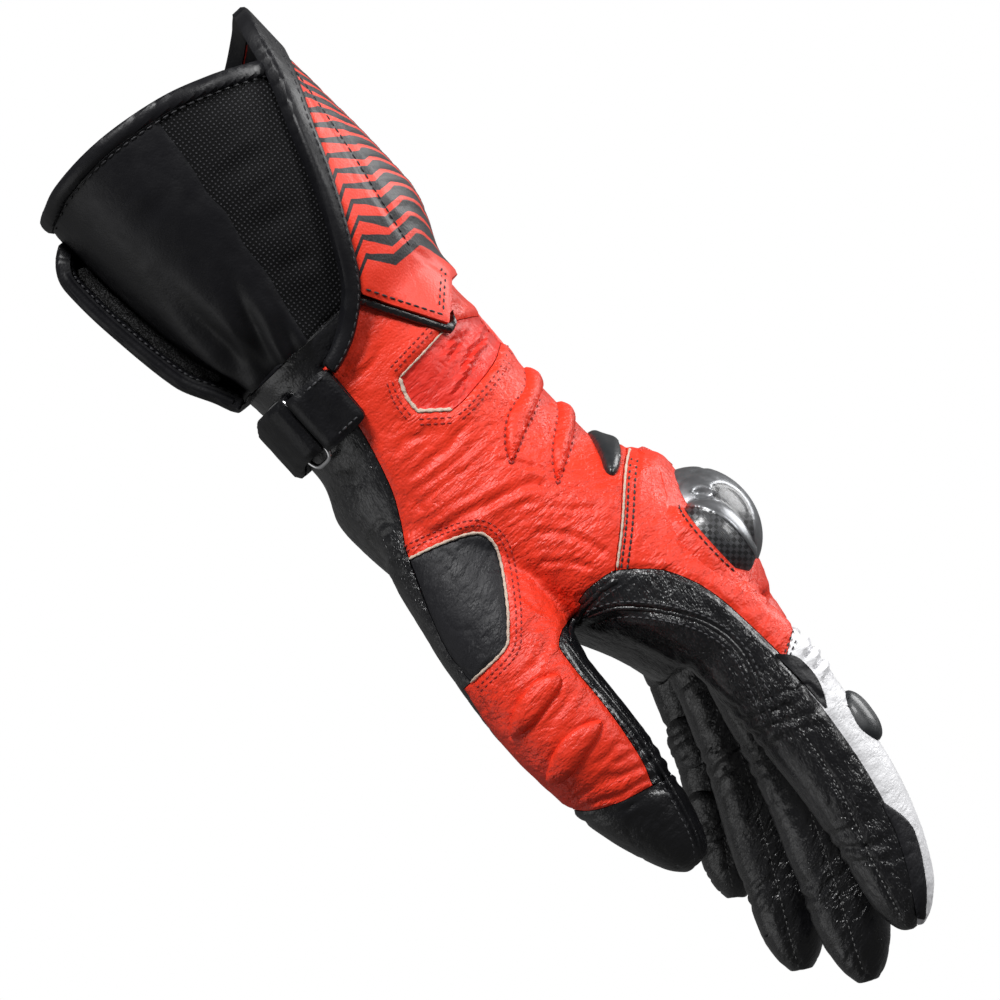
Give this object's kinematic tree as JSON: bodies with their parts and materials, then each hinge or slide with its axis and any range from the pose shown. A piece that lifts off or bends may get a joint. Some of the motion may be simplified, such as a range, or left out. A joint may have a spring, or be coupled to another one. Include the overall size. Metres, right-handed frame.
{
  "type": "motorcycle gauntlet",
  "caption": "Left-hand long-cuff racing glove in leather panels, held open as when worn, with a hard knuckle guard, wrist strap, mesh gussets and a striped flared cuff.",
  "frame": {"origin": "middle of the wrist, inside the hollow, where the wearer's wrist sits", "axes": "+X along the hand to the fingertips, +Z out of the back of the hand, thumb at negative Y"},
  "size_m": [0.3185, 0.1158, 0.1033],
  "materials": {
    "red_leather": "grained, semi-matt, bright orange-red",
    "black_leather": "soft grained leather with a low gloss",
    "cuff_leather": "smooth fine-grained synthetic leather",
    "mesh_fabric": "ribbed woven stretch fabric",
    "hook_fabric": "hook-and-loop pile",
    "white_leather": "grained, semi-matt white",
    "rubber": "moulded, satin",
    "guard_shell": "glossy woven-fibre look under clear resin",
    "wire": "bright plated steel wire"
  },
  "bodies": {
    "root": {"back_plate": "rubber", "back_ridge_1": "red_leather", "back_ridge_2": "red_leather", "closure_flap": "cuff_leather", "cuff_back": "red_leather", "cuff_back_binding": "cuff_leather", "cuff_mouth_binding": "cuff_leather", "cuff_palm": "cuff_leather", "cuff_trim": "cuff_leather", "flap_binding": "cuff_leather", "gusset_little_side": "mesh_fabric", "gusset_thumb_side": "mesh_fabric", "hand_back": "red_leather", "hook_strip": "hook_fabric", "index_back": "white_leather", "index_palm": "black_leather", "index_slider": "rubber", "knuckle_guard": "guard_shell", "knuckle_panel": "red_leather", "little_back": "white_leather", "little_pad_1": "black_leather", "little_pad_2": "black_leather", "little_palm": "black_leather", "little_slider": "rubber", "middle_back": "white_leather", "middle_palm": "black_leather", "middle_slider": "rubber", "palm": "black_leather", "ring_back": "white_leather", "ring_palm": "black_leather", "ring_slider": "rubber", "side_patch": "cuff_leather", "strap_ring": "wire", "strap_tab": "cuff_leather", "thumb_ridge_1": "red_leather", "thumb_ridge_2": "red_leather", "thumb_tip": "black_leather", "wrist_strap": "cuff_leather", "wrist_window": "red_leather"}
  },
  "joints": []
}
